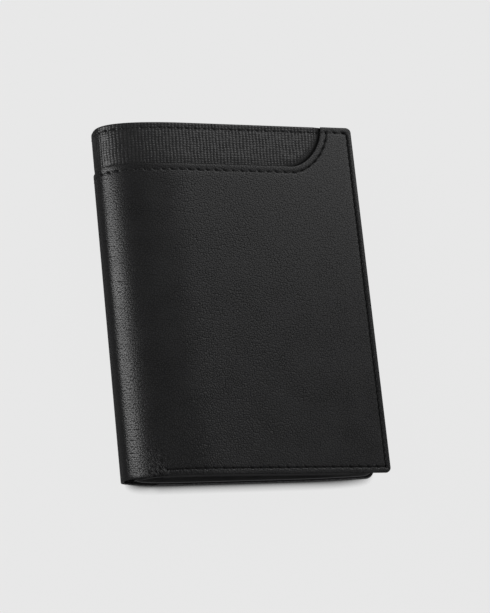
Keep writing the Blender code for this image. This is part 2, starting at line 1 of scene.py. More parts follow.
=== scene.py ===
"""Looks of the vertical wallet: leather, lining, thread, studio and camera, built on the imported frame.

Lengths are in metres in the frame's own axes. The leather follows one section line in the XZ plane,
from the back cover's free edge round the spine to the front cover's free edge. A place on a ply is
given flat, as (s, y): s is the length along that line and y the height above the foot.
"""

import math

import bmesh
import bpy
import numpy as np
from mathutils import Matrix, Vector, kdtree
from mathutils.geometry import delaunay_2d_cdt


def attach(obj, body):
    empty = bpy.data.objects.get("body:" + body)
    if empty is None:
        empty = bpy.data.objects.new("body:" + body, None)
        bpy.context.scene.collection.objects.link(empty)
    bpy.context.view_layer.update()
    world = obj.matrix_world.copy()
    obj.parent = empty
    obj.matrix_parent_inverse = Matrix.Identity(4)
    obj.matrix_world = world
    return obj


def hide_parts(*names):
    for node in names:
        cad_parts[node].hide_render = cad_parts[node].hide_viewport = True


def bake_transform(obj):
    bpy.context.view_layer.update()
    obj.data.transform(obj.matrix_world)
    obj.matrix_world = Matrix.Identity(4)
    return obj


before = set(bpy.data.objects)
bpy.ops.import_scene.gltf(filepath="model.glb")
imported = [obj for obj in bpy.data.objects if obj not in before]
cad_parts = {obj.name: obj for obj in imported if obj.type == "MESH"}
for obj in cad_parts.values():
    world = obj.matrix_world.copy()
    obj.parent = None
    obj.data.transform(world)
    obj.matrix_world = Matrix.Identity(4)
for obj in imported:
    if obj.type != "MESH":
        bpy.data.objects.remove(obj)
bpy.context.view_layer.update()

# Section line of the closed wallet
WIDTH = 0.092
HEIGHT = 0.125
SPINE_DEPTH = 0.02135
SPINE_REACH = 0.02597
SPINE_POWER = 2.83
FREE_EDGE_DEPTH = 0.01713
SLOPE_EASE = 0.004
BACK_NARROWER = 0.0012
BACK_SHORTER = 0.0017
CURL_RISE = 0.00295
CURL_LENGTH = 0.030
TRACE_STEPS = 600

# The two folds: the bodies that each one joins, and half the length over which it bends
BACK_PAIR = ("back_cover", "spine")
FRONT_PAIR = ("spine", "front_cover")
FOLD_SOFTNESS = 0.0032

# Plies, from the outside in: depth of the outer face and thickness
SMOOTH_PLY = (0.0, 0.0010)
BAND_PLY = (0.00125, 0.0006)
LINING_PLY = (0.00210, 0.0004)
PANEL_PLY = (0.00280, 0.0006)
LINING_INSET = 0.0006
PANEL_INSET = 0.0003
INNER_STRIP_DEPTH = 0.0045
INNER_STRIP_EASE = 0.009

# Outside pocket: its mouth and scoop, leather pared thin there, and textured leather under it
MOUTH_DROP = 0.0152
SCOOP_END_INSET = 0.0113
SCOOP_WIDTH = 0.0125
SCOOP_POWER = 1.75
SCOOP_STEPS = 24
SKIVED = 0.00026
SCOOP_SKIVED = 0.00055
SKIVE_WIDTH = 0.0045
PLY_GAP = 0.00025
BAND_TUCK = 0.007
BAND_LEVEL = 0.00042
BAND_RAMP = 0.0030

# Turned-in edge of the back cover
HEM_WIDTH = 0.0030
HEM_START = 0.0135
HEM_EASE = 0.0015
HEM_GAP = 0.00004

# Edges and corners; a rim strength says how far a cut edge is painted lighter: partly the raw
# edge's grey, partly painted light
RIM_RADIUS = 0.00030
RIM_SHARE = 0.48
RIM_REACH = 0.00030
FRONT_RIM = 0.10
BACK_RIM = 1.0
BORDER_WIDTH = 0.0012
BORDER_SMOOTHED = 0.25
FRONT_CORNER = 0.0018
BACK_CORNER = 0.0030
INNER_CORNER = 0.0040
FRONT_PLY_CORNER = 0.0140

# Sewing: distance of each row from its edge, stitches, thread, and strength of the rows' grooves
HEAD_ROW = 0.0021
SIDE_ROW = 0.00175
FOOT_ROW = 0.00205
MOUTH_ROW = 0.00225
ROW_CORNER = 0.0013
FOOT_ROW_START = 0.013
STITCH_PITCH = 0.00316
SIDE_PITCH = 0.0026
THREAD_RADIUS = 0.00021
THREAD_SLANT = math.radians(-14)
PIT_SLANT = math.radians(-22)
FOOT_SLANT = math.radians(-40)
SIDE_SLANT = math.radians(6)
HEAD_GROOVE = 0.3
SIDE_GROOVE = 1.5
FOOT_GROOVE = 1.15
MOUTH_GROOVE = 0.2
SCOOP_GROOVE = 1.0

# Mesh fineness
EDGE_STEP = 0.00030
FINE_STEP = 0.00022
TEXTURE_STEP = 0.00019
PLAIN_STEP = 0.0010
UNDER_STEP = 0.0016
FINE_REACH = 0.0018
RING_SHARES = (0.10, 0.32, 0.62, 1.0)
ROW_SAMPLE_STEP = 0.0001
MOUTH_SAMPLE_STEP = 0.0002
CORNER_POINTS = 9
ROW_CORNER_POINTS = 7
SLOT_CORNER_CUTS = 8
SAME_PLACE = 1e-7
WELD_DISTANCE = 1e-6
FILL_TOLERANCE = 1e-9
KEEP_INSIDE = 1

# Strength of the leather's grain at distances from the spine and at heights above the foot
GRAIN_PLACES = (0.004, 0.009, 0.013, 0.018, 0.030, 0.085)
GRAIN_SHARES = (0.66, 0.58, 0.50, 0.50, 0.60, 0.22)
GRAIN_HEIGHTS = (0.010, 0.060, 0.110)
GRAIN_HEIGHT_SHARES = (1.95, 1.25, 0.95)
GRAIN_HEIGHTS_START = 0.016
GRAIN_HEIGHTS_EASE = 0.012
GRAIN_UNDER_WRINKLES = 0.3

# Wrinkles: distance from the spine, and spread across it and up from the foot
WRINKLES = (0.0103, 0.0034, 0.009)
FAINT_WRINKLES = (0.020, 0.010, 0.030)
FAINT_SHARE = 0.2

SEED = 7
rng = np.random.default_rng(SEED)


def eased(share):
    """A share eased at both ends."""
    share = np.clip(share, 0, 1)
    return share * share * (3 - 2 * share)


class Section:
    """The outer line of the closed wallet and its inward normals, by length along it."""

    def __init__(self):
        slope = (SPINE_DEPTH - FREE_EDGE_DEPTH) / (WIDTH - SPINE_REACH)
        flat = np.linspace(WIDTH - BACK_NARROWER, SPINE_REACH, TRACE_STEPS, endpoint=False)
        curl = CURL_RISE * (np.clip(flat - (WIDTH - CURL_LENGTH), 0, None) / CURL_LENGTH) ** 2
        angle = np.linspace(-math.pi / 2, math.pi / 2, 2 * TRACE_STEPS + 1)
        x = SPINE_REACH * (1 - np.abs(np.cos(angle)) ** (2 / SPINE_POWER))
        half = SPINE_DEPTH / 2 * (1 - (1 - x / SPINE_REACH) ** SPINE_POWER) ** (1 / SPINE_POWER)
        z = SPINE_DEPTH / 2 + np.copysign(half, angle)
        ahead = np.linspace(SPINE_REACH, WIDTH, TRACE_STEPS + 1)[1:]
        xs = np.concatenate([flat, x, ahead])
        zs = np.concatenate([curl, z, np.full(TRACE_STEPS, SPINE_DEPTH)])
        past = xs - SPINE_REACH
        soft = slope * (past + SLOPE_EASE) ** 2 / (4 * SLOPE_EASE)
        drop = np.where(past >= SLOPE_EASE, slope * past, np.where(past <= -SLOPE_EASE, 0.0, soft))
        upper = np.arange(len(xs)) > 2 * TRACE_STEPS
        self.x, self.z = xs, zs - np.where(upper, drop, 0.0)
        steps = np.hypot(np.diff(self.x), np.diff(self.z))
        self.s = np.concatenate([[0.0], np.cumsum(steps)])
        dx, dz = np.gradient(self.x, self.s), np.gradient(self.z, self.s)
        length = np.hypot(dx, dz)
        self.nx, self.nz = dz / length, -dx / length
        self.apex = float(self.s[int(np.argmin(self.x))])
        self.end = float(self.s[-1])
        lower = self.s <= self.apex
        self.lower_fold = float(np.interp(0.0, (self.z - self.x)[lower], self.s[lower]))
        self.upper_fold = 2 * self.apex - self.lower_fold

    def where_x(self, x, front):
        """The length along the line where one cover passes a distance from the spine."""
        side = self.s >= self.apex if front else self.s <= self.apex
        order = np.argsort(self.x[side])
        return float(np.interp(x, self.x[side][order], self.s[side][order]))

    def place(self, s, y, depth):
        """Points in the frame's axes for flat places at a depth under the outer line."""
        s, y, depth = np.broadcast_arrays(s, y, depth)
        x = np.interp(s, self.s, self.x) + np.interp(s, self.s, self.nx) * depth - WIDTH / 2
        z = np.interp(s, self.s, self.z) + np.interp(s, self.s, self.nz) * depth
        return np.stack([x, y - HEIGHT / 2, z], axis=-1)


LINE = Section()
APEX = LINE.apex
MOUTH = HEIGHT - MOUTH_DROP

# Foot of the leather at the middle of the spine: the back cover is shorter than the front
SPINE_FOOT = BACK_SHORTER / 2


def strip_depth(s):
    """Depth of the inner ply: it stands off from the spine and lies close on both covers."""
    share = eased(np.interp(s, LINE.s, LINE.x) / INNER_STRIP_EASE)
    return INNER_STRIP_DEPTH + (PANEL_PLY[0] - INNER_STRIP_DEPTH) * share


def turned(direction, angle):
    """A flat direction turned by an angle."""
    c, n = math.cos(angle), math.sin(angle)
    return np.array((direction[0] * c - direction[1] * n, direction[0] * n + direction[1] * c))


def rounded(corners):
    """A closed outline from corners (s, y, radius), with arcs at the rounded ones."""
    outline = []
    for i, (s, y, radius) in enumerate(corners):
        here = np.array((s, y))
        if not radius:
            outline.append(here)
            continue
        before = np.array(corners[i - 1][:2]) - here
        after = np.array(corners[(i + 1) % len(corners)][:2]) - here
        before, after = before / np.linalg.norm(before), after / np.linalg.norm(after)
        half = math.acos(float(np.clip(before @ after, -1, 1))) / 2
        centre = here + (before + after) / np.linalg.norm(before + after) * radius / math.sin(half)
        first = here + before * radius / math.tan(half) - centre
        last = here + after * radius / math.tan(half) - centre
        sweep = math.atan2(first[0] * last[1] - first[1] * last[0], first @ last)
        outline += [centre + turned(first, turn) for turn in np.linspace(0, sweep, CORNER_POINTS)]
    return np.array(outline)


def resampled(outline, step, closed=True):
    """Evenly spaced points along each straight run of an outline, its corners kept."""
    points = []
    pairs = zip(outline, np.roll(outline, -1, axis=0)) if closed else zip(outline, outline[1:])
    for a, b in pairs:
        count = max(1, round(np.linalg.norm(b - a) / step))
        points += [a + (b - a) * k / count for k in range(count)]
    if not closed:
        points.append(outline[-1])
    return np.array(points)


def tree_of(points):
    """A search tree of flat points."""
    tree = kdtree.KDTree(len(points))
    for i, (s, y) in enumerate(points):
        tree.insert((s, y, 0.0), i)
    tree.balance()
    return tree


def distances(tree, points):
    """Distance from each flat point to the nearest in a tree."""
    return np.array([tree.find((s, y, 0.0))[2] for s, y in points])


def inside(points, outline):
    """Which flat points lie inside an outline."""
    result = np.zeros(len(points), bool)
    for (s0, y0), (s1, y1) in zip(outline, np.roll(outline, -1, axis=0)):
        crosses = (y0 > points[:, 1]) != (y1 > points[:, 1])
        with np.errstate(divide="ignore", invalid="ignore"):
            edge = (s1 - s0) * (points[:, 1] - y0) / (y1 - y0) + s0
        result ^= crosses & (points[:, 0] < edge)
    return result


def inward(loop):
    """Inward unit normals of a closed loop that runs anticlockwise."""
    ahead = np.roll(loop, -1, axis=0) - np.roll(loop, 1, axis=0)
    ahead /= np.maximum(np.linalg.norm(ahead, axis=1, keepdims=True), SAME_PLACE)
    return np.stack([-ahead[:, 1], ahead[:, 0]], axis=1)


def filled(loop, free, radius, zones):
    """Triangles over a loop: rings near its free edge, and a grid inside as fine as each zone asks."""
    normals = inward(loop)
    rings = [loop[free] + normals[free] * radius * share for share in RING_SHARES]
    low, high = loop.min(0), loop.max(0)
    edge_tree = tree_of(resampled(loop, EDGE_STEP / 3))
    pieces = []
    for size, chosen in zones:
        s_count, y_count = np.maximum(1, np.ceil((high - low) / size)).astype(int)
        s, y = np.meshgrid(np.linspace(low[0], high[0], s_count + 1),
                           np.linspace(low[1], high[1], y_count + 1))
        s = s + (size / 2) * (np.arange(y_count + 1) % 2)[:, None]
        points = np.stack([s.ravel(), y.ravel()], axis=1)
        points = points[chosen(points)]
        points = points[inside(points, loop)]
        pieces.append(points[distances(edge_tree, points) > radius * RING_SHARES[-1] + size / 2])
    points = np.concatenate([loop, *rings, *pieces])
    verts, _, faces, *_ = delaunay_2d_cdt([Vector(p) for p in points], [], [list(range(len(loop)))],
                                          KEEP_INSIDE, FILL_TOLERANCE)
    return np.array([tuple(v) for v in verts]), faces


def everywhere(points):
    """Chooses all points."""
    return np.ones(len(points), bool)


def sewn_zones(rows):
    """A fine grid near the rows and a plain one elsewhere."""
    tree = tree_of(np.concatenate([row.samples for row in rows]))

    def near(points):
        return distances(tree, points) < FINE_REACH

    return [(PLAIN_STEP, lambda points: ~near(points)), (FINE_STEP, near)]


def band_zones(low):
    """A fine grid over the texture that shows and a plain one below it."""
    return [(PLAIN_STEP, lambda points: points[:, 1] < low),
            (TEXTURE_STEP, lambda points: points[:, 1] >= low)]


def edge_fall(distance, radius):
    """How far a rounded edge has fallen away at a distance from it."""
    share = np.clip(distance / radius, 0, 1)
    return radius * (1 - np.sqrt(1 - (1 - share) ** 2))


def rim_share(to_edge):
    """Share by which a place belongs to the cut edge."""
    return np.clip(1 - to_edge / RIM_REACH, 0, 1)


def linked(name, data):
    """An object in the scene."""
    item = bpy.data.objects.new(name, data)
    bpy.context.scene.collection.objects.link(item)
    return item


def made_piece(form, name, material, smooth=True):
    """A scene object of a built form."""
    bmesh.ops.recalc_face_normals(form, faces=form.faces[:])
    data = bpy.data.meshes.new(name)
    form.to_mesh(data)
    form.free()
    if smooth:
        data.polygons.foreach_set("use_smooth", [True] * len(data.polygons))
    data.materials.append(material)
    return linked(name, data)


def leather_piece(name, corners, ply, material, body_pair, relief=None, zones=None, top=None,
                  under=None):
    """Half of a ply as a closed mesh with rounded free edges and relief, from anticlockwise corners."""
    depth, thickness = ply
    loop = resampled(rounded(corners), EDGE_STEP)
    on_seam = np.abs(loop[:, 0] - APEX) < SAME_PLACE
    ends = on_seam & ~(np.roll(on_seam, 1) & np.roll(on_seam, -1))
    radius = min(thickness / 2, RIM_RADIUS)
    dense = resampled(loop, EDGE_STEP / 3)
    dense = np.concatenate([dense[np.abs(dense[:, 0] - APEX) > SAME_PLACE], loop[ends]])
    edge_tree = tree_of(dense)

    def shell(points, to_edge):
        """Depths of the outer and the inner face, both rounded off at the free edge."""
        outer = top(points) if top else np.full(len(points), depth)
        inner = under(points) if under else np.full(len(points), depth + thickness)
        fall = edge_fall(to_edge, np.minimum((inner - outer) * RIM_SHARE, RIM_RADIUS))
        return outer + fall, inner - fall

    face, face_triangles = filled(loop, ~on_seam, radius, zones or [(PLAIN_STEP, everywhere)])
    back, back_triangles = filled(loop, ~on_seam, radius, [(UNDER_STEP, everywhere)])
    face_edge, back_edge = distances(edge_tree, face), distances(edge_tree, back)
    face_depth, back_depth = shell(face, face_edge)[0], shell(back, back_edge)[1]
    face_painted_shade, back_painted_shade = np.zeros(len(face)), np.zeros(len(back))
    if relief:
        height, face_painted_shade = relief(face, face_edge)
        face_depth = face_depth - height * np.clip(face_edge / radius, 0, 1)
    # Painted shade on the front pieces' cut walls, darkest at their inner face
    if body_pair == FRONT_PAIR:
        back_painted_shade = rim_share(back_edge)
    # Cut edges painted lighter, strongly on the back cover and faintly on the front: raw grey and
    # painted light
    worn_and_lit = BACK_RIM if body_pair == BACK_PAIR else FRONT_RIM
    form = bmesh.new()
    flat = form.verts.layers.float_vector.new("flat")
    layers = [form.verts.layers.float.new(key) for key in ("painted_shade", "rim", "grain", "wrinkle")]
    sheets = []
    for points, depths, to_edge, painted_shade in ((face, face_depth, face_edge, face_painted_shade),
                                            (back, back_depth, back_edge, back_painted_shade)):
        smoothed = BORDER_SMOOTHED * (1 - eased((to_edge - BORDER_WIDTH) / PUFF_SHOULDER))
        grain = grain_strength(points) * (1 - smoothed)
        strengths = (painted_shade, rim_share(to_edge) * worn_and_lit, grain, wrinkle_strength(points))
        verts = [form.verts.new(p) for p in LINE.place(*points.T, depths)]
        for vert, (s, y), *values in zip(verts, points, *strengths):
            vert[flat] = (s, y, 0.0)
            for layer, value in zip(layers, values):
                vert[layer] = value
        sheets.append(verts)
    face_verts, back_verts = sheets
    for triangle in face_triangles:
        form.faces.new([face_verts[i] for i in triangle])
    for triangle in back_triangles:
        form.faces.new([back_verts[i] for i in reversed(triangle)])
    count = len(loop)
    for i in range(count):
        j = (i + 1) % count
        wall = form.faces.new((face_verts[j], face_verts[i], back_verts[i], back_verts[j]))
        if on_seam[i] and on_seam[j]:
            for edge in wall.edges:
                edge.smooth = False
    item = made_piece(form, name, material)
    follow(item)
    return item


def follow(item):
    """Bakes a piece's placement into its mesh."""
    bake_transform(item)


def fold_span(s, sign):
    """Start and end of the bend at a fold, along the section's direction there."""
    x, _, z = LINE.place(s, 0.0, 0.0)
    along = Vector((-sign, 0.0, 1.0)).normalized()
    centre = Vector((x, 0.0, z))
    return tuple(centre - along * FOLD_SOFTNESS), tuple(centre + along * FOLD_SOFTNESS)


FOLD_SPANS = {
    BACK_PAIR: fold_span(LINE.lower_fold, 1.0),
    FRONT_PAIR: fold_span(LINE.upper_fold, -1.0),
}


def grain_strength(points):
    """Strength of the grain by distance from the spine and height above the foot, less in wrinkles."""
    x = np.interp(points[:, 0], LINE.s, LINE.x)
    by_height = np.interp(points[:, 1], GRAIN_HEIGHTS, GRAIN_HEIGHT_SHARES) - 1
    by_height = by_height * eased((x - GRAIN_HEIGHTS_START) / GRAIN_HEIGHTS_EASE)
    kept = 1 - (1 - GRAIN_UNDER_WRINKLES) * wrinkle_strength(points)
    return np.interp(x, GRAIN_PLACES, GRAIN_SHARES) * (1 + by_height) * kept


def wrinkle_strength(points):
    """Strength of the wrinkles where the front cover's foot bends into the spine."""
    x = np.interp(points[:, 0], LINE.s, LINE.x)
    strong, faint = (np.exp(-((x - place) / across) ** 2 - (points[:, 1] / up) ** 2)
                     for place, across, up in (WRINKLES, FAINT_WRINKLES))
    return np.where(points[:, 0] > APEX, np.maximum(strong, FAINT_SHARE * faint), 0.0)


class Row:
    """A row of stitches along a flat path: its holes, their directions and close samples."""

    def __init__(self, path, pitch, groove, slant=PIT_SLANT, from_seam=False, scoop_groove=None):
        dense = resampled(np.array(path), ROW_SAMPLE_STEP, closed=False)
        steps = np.linalg.norm(np.diff(dense, axis=0), axis=1)
        along = np.concatenate([[0.0], np.cumsum(steps)])
        lead = 0.5 if from_seam else 0.0
        count = max(1, round(along[-1] / pitch - lead))
        actual = along[-1] / (count + lead)
        marks = np.minimum(actual * (lead + np.arange(count + 1)), along[-1])
        self.groove, self.slant = groove, slant
        self.more = 0.0 if scoop_groove is None else scoop_groove - groove
        self.samples = dense
        self.holes = self.at(marks, along)
        ahead = self.at(marks + pitch / 4, along) - self.at(marks - pitch / 4, along)
        self.ahead = ahead / np.linalg.norm(ahead, axis=1, keepdims=True)

    def groove_at(self, points):
        """Strength of the groove at flat places: it is pulled deeper along the scoop."""
        return self.groove + self.more * along_scoop(points)

    def at(self, marks, along):
        """Flat places at lengths along the row."""
        return np.stack([np.interp(marks, along, self.samples[:, k]) for k in (0, 1)], axis=1)


def scoop_points(offset):
    """The scoop of the mouth in flat places, from its start up to the head, moved into the leather."""
    end_x = WIDTH - SCOOP_END_INSET
    share = np.sin(np.linspace(0, math.pi / 2, SCOOP_STEPS + 1))
    depth = MOUTH_DROP * (1 - share ** SCOOP_POWER) ** (1 / SCOOP_POWER)
    x = end_x - SCOOP_WIDTH * (1 - share)
    s = np.array([LINE.where_x(v, True) for v in x])
    points = np.stack([s, HEIGHT - depth], axis=1)
    ahead = np.gradient(points, axis=0)
    ahead /= np.linalg.norm(ahead, axis=1, keepdims=True)
    return points + np.stack([ahead[:, 1], -ahead[:, 0]], axis=1) * offset


def smooth_front_corners():
    """Outline of the smooth leather on the front half: foot, free edge, head, scoop and mouth."""
    corners = [(APEX, SPINE_FOOT, 0.0), (LINE.upper_fold, 0.0, 0.0),
               (LINE.end, 0.0, FRONT_CORNER), (LINE.end, HEIGHT, FRONT_CORNER)]
    corners += [(s, y, 0.0) for s, y in SCOOP[::-1]]
    corners.append((APEX, MOUTH, 0.0))
    return corners


def corner_arc(s, y, toward):
    """The side row's rounded corner, from the head row down to the side row."""
    turns = np.linspace(0, math.pi / 2, ROW_CORNER_POINTS)
    return [(s + toward * ROW_CORNER * (1 - math.sin(turn)), y - ROW_CORNER * (1 - math.cos(turn)))
            for turn in turns]


def make_rows():
    """All rows of stitches on both halves."""
    head = HEIGHT - HEAD_ROW
    mouth = MOUTH - MOUTH_ROW
    scoop = scoop_points(MOUTH_ROW)
    scoop = scoop[scoop[:, 1] < head]
    round_scoop = [*[tuple(point) for point in scoop], (scoop[-1][0], head)]
    rows = {}
    for half, side, toward, foot, mouth_end, scoop_groove in (
            ("front", LINE.end - SIDE_ROW, -1.0, FOOT_ROW, round_scoop, SCOOP_GROOVE),
            ("back", SIDE_ROW, 1.0, BACK_SHORTER + FOOT_ROW, [(SIDE_ROW, mouth)], None)):
        foot_start = LINE.where_x(FOOT_ROW_START, half == "front")
        rows[f"{half}_head"] = Row([(APEX, head), (side + toward * ROW_CORNER, head)], STITCH_PITCH,
                                   HEAD_GROOVE, from_seam=True)
        rows[f"{half}_side"] = Row([*corner_arc(side, head, toward), (side, foot)], SIDE_PITCH,
                                   SIDE_GROOVE, slant=SIDE_SLANT)
        rows[f"{half}_foot"] = Row([(side, foot), (foot_start, foot)], STITCH_PITCH, FOOT_GROOVE,
                                   slant=FOOT_SLANT)
        rows[f"{half}_mouth"] = Row([(APEX, mouth), *mouth_end], STITCH_PITCH, MOUTH_GROOVE,
                                    from_seam=True, scoop_groove=scoop_groove)
    return rows


ROWS = make_rows()
SCOOP = scoop_points(0.0)
SCOOP_START, SCOOP_END = SCOOP[0, 0], SCOOP[-1, 0]
MOUTH_EDGE = np.concatenate([[(0.0, MOUTH), (APEX, MOUTH)], SCOOP])
MOUTH_TREE = tree_of(resampled(MOUTH_EDGE, MOUTH_SAMPLE_STEP, closed=False))


def shows_texture(points):
    """Which flat places lie above the mouth, where the textured leather shows."""
    mouth = np.interp(points[:, 0], MOUTH_EDGE[:, 0], MOUTH_EDGE[:, 1])
    return (points[:, 1] >= mouth) & (points[:, 0] <= SCOOP_END)


def along_scoop(points):
    """Share by which a place lies along the scoop rather than along the straight mouth."""
    return eased((points[:, 0] - SCOOP_START + SCOOP_WIDTH / 2) / SCOOP_WIDTH)


def smooth_under(points):
    """Depth of the smooth leather's back: it is pared thin towards the mouth."""
    edge = SKIVED + (SCOOP_SKIVED - SKIVED) * along_scoop(points)
    return edge + (SMOOTH_PLY[1] - edge) * eased(distances(MOUTH_TREE, points) / SKIVE_WIDTH)


def hemmed_under(points):
    """Depth of the back cover's smooth leather with its edge turned in at the foot and free edge."""
    x = np.interp(points[:, 0], LINE.s, LINE.x)
    to_edge = np.minimum(points[:, 1] - BACK_SHORTER, points[:, 0])
    hem = (1 - eased((to_edge - HEM_WIDTH) / HEM_WIDTH)) * eased((x - HEM_START) / HEM_EASE)
    top_end = MOUTH - BAND_TUCK - 3 * HEM_WIDTH
    hem = hem * (1 - eased((points[:, 1] - top_end) / HEM_WIDTH))
    folded = LINING_PLY[0] - SMOOTH_PLY[1] - HEM_GAP
    return smooth_under(points) + folded * np.where(points[:, 0] < APEX, hem, 0.0)


def band_top(points):
    """Depth of the textured leather's face: under the smooth leather, and level above the mouth."""
    gap = distances(MOUTH_TREE, points)
    edge = SKIVED + (SCOOP_SKIVED - SKIVED) * along_scoop(points) + PLY_GAP
    shown = BAND_LEVEL + (edge - BAND_LEVEL) * (1 - eased(gap / BAND_RAMP))
    return np.where(shows_texture(points), shown, smooth_under(points) + PLY_GAP)


def thread_depth(points):
    """Depth of the uppermost leather under a thread."""
    return np.where(shows_texture(points), band_top(points), 0.0)


# Sewn relief: full borders, grooves, the pull round them, and holes, with painted shade in the
# grooves and holes; the back's face is set in by its rest, so that its seams clear the floor
PUFF = 0.00003
PUFF_SHOULDER = 0.0010
BACK_REST = 0.00014
GROOVE = 0.00006
GROOVE_WIDTH = 0.00034
GROOVE_SHADE = 0.9
PULL = 0.00002
PULL_WIDTH = 0.0013
PIT_DEPTH = 0.00038
PIT_LENGTH = 0.00062
PIT_WIDTH = 0.00020
PIT_SIZES = (0.85, 1.15)


def sewn_relief(rows, rest_low=0.0):
    """Relief of sewn leather: a full edge outside the row, a groove along it and pits at its holes, with
    painted shade in the groove and pits.
    """
    tree = tree_of(np.concatenate([row.samples for row in rows]))
    groove_trees = [(row, tree_of(row.samples)) for row in rows]

    def relief(points, edge):
        to_row = distances(tree, points)
        past = (edge - MOUTH_ROW + 2 * PUFF_SHOULDER) / (2 * PUFF_SHOULDER)
        full = eased(edge / PUFF_SHOULDER) * (1 - eased(past))
        height = PUFF * full * (to_row < MOUTH_ROW + PUFF_SHOULDER)
        rest = rest_low * eased((APEX - points[:, 0]) / SPINE_DEPTH)
        height = height - PULL * np.exp(-(to_row / PULL_WIDTH) ** 2) - rest
        painted_shade = np.zeros(len(points))
        close = np.where(to_row < 4 * GROOVE_WIDTH)[0]
        for row, row_tree in groove_trees:
            profile = np.exp(-(distances(row_tree, points[close]) / GROOVE_WIDTH) ** 2)
            groove = row.groove_at(points[close])
            height[close] -= GROOVE * groove * profile
            # Painted shade along the groove
            shade = np.minimum(GROOVE_SHADE * groove, 1.0) * profile
            painted_shade[close] = np.maximum(painted_shade[close], shade)
        places = tree_of(points)
        for row in rows:
            for hole, ahead in zip(row.holes, row.ahead):
                forward = turned(ahead, row.slant)
                size = rng.uniform(*PIT_SIZES)
                for place, index, _ in places.find_range((*hole, 0.0), 3 * PIT_LENGTH):
                    offset = np.array(place[:2]) - hole
                    along = offset @ forward / (PIT_LENGTH * size)
                    across = offset[1] * forward[0] - offset[0] * forward[1]
                    across /= PIT_WIDTH * size
                    pit = math.exp(-along ** 2 - across ** 2)
                    height[index] -= PIT_DEPTH * pit
                    # Painted shade in the stitch hole
                    painted_shade[index] = max(painted_shade[index], pit)
        return height, painted_shade

    return relief


# Crosshatch: ribs, the wefts between them, painted shade in the gaps, and the reach of the painted
# shadow beside the mouth
RIB_PITCH = 0.00122
RIB_LEAN_SHARE = -0.02
RIB_POWER = 0.8
WEFT_PITCH = 0.00088
WEFT_SHARE = 0.28
TEXTURE_HEIGHT = 0.00007
TEXTURE_RISE_SHARE = 1.3
GAP_SHARPNESS = 1.6
GAP_SHADE = 0.70
MOUTH_SHADE_REACH = 0.00050
SCOOP_SHADE_REACH = 0.00150

# Its unevenness: sways as strength and rates along s and y; patches and breaks as the rate of a
# wave, its wander, and the wander's own rate
RIB_SWAY = ((0.5, 310, 0), (0.35, 240, 900))
WEFT_SWAY = ((0.6, 410, 500), (0.5, 1100, 0))
PATCH_WAVES = ((2300, 2, 1700), (2900, 2, 1300))
PATCH_SHARE = 0.16
BREAK_WAVE = (830, 3, 640)
BREAK_SHARE = 0.15


def swayed(s, y, waves, phases):
    """Sum of waves over flat places."""
    return sum(strength * np.sin(s * along_s + y * along_y + phase)
               for (strength, along_s, along_y), phase in zip(waves, phases))


def wandering(along, across, wave, phases):
    """A wave along one direction whose phase wanders across it."""
    rate, wander, wander_rate = wave
    return np.sin(along * rate + phases[0] + wander * np.sin(across * wander_rate + phases[1]))


def textured_relief(rows, rest_low=0.0):
    """Relief of the textured leather: crossed ribs, uneven, with the sewing's own relief; painted shade
    in its gaps and beside the mouth.
    """
    sewn = sewn_relief(rows, rest_low)
    turns = rng.uniform(0, 2 * math.pi, 10)

    def relief(points, edge):
        s, y = points[:, 0], points[:, 1]
        lean = 2 * math.pi * (s + RIB_LEAN_SHARE * y) / RIB_PITCH
        rib = (0.5 + 0.5 * np.sin(lean + swayed(s, y, RIB_SWAY, turns[0:2]))) ** RIB_POWER
        weft = np.sin(2 * math.pi * y / WEFT_PITCH + swayed(s, y, WEFT_SWAY, turns[2:4]))
        patch = wandering(s, y, PATCH_WAVES[0], turns[4:6])
        patch = patch * wandering(y, s, PATCH_WAVES[1], turns[6:8])
        whole = 1 - BREAK_SHARE * (1 - wandering(s, y, BREAK_WAVE, turns[8:10]))
        cell = (rib * whole + (1 - whole) / 2) * (1 - WEFT_SHARE * (1 - weft)) + PATCH_SHARE * patch
        height, painted_shade = sewn(points, edge)
        # Painted shade in the gaps between ribs, and a painted shadow beside the mouth and scoop
        gap = np.clip(1.0 - GAP_SHARPNESS * cell, 0, 1) * GAP_SHADE
        reach = MOUTH_SHADE_REACH + (SCOOP_SHADE_REACH - MOUTH_SHADE_REACH) * along_scoop(points)
        shade = np.exp(-(distances(MOUTH_TREE, points) / reach) ** 2)
        height = height + TEXTURE_HEIGHT * (TEXTURE_RISE_SHARE * cell - 1.0)
        return height, np.maximum.reduce([painted_shade, gap, shade])

    return relief


# Thread between two holes: how far it sinks into a deep groove, and its arch in thread radii
THREAD_SINK = 0.00016
THREAD_SINK_START = 0.4
THREAD_RINGS = 7
THREAD_SIDES = 6
THREAD_REACH_SHARE = 0.70
THREAD_LIFT_SHARES = (-3.4, -1.6, -0.5, -0.2, -0.5, -1.6, -3.4)


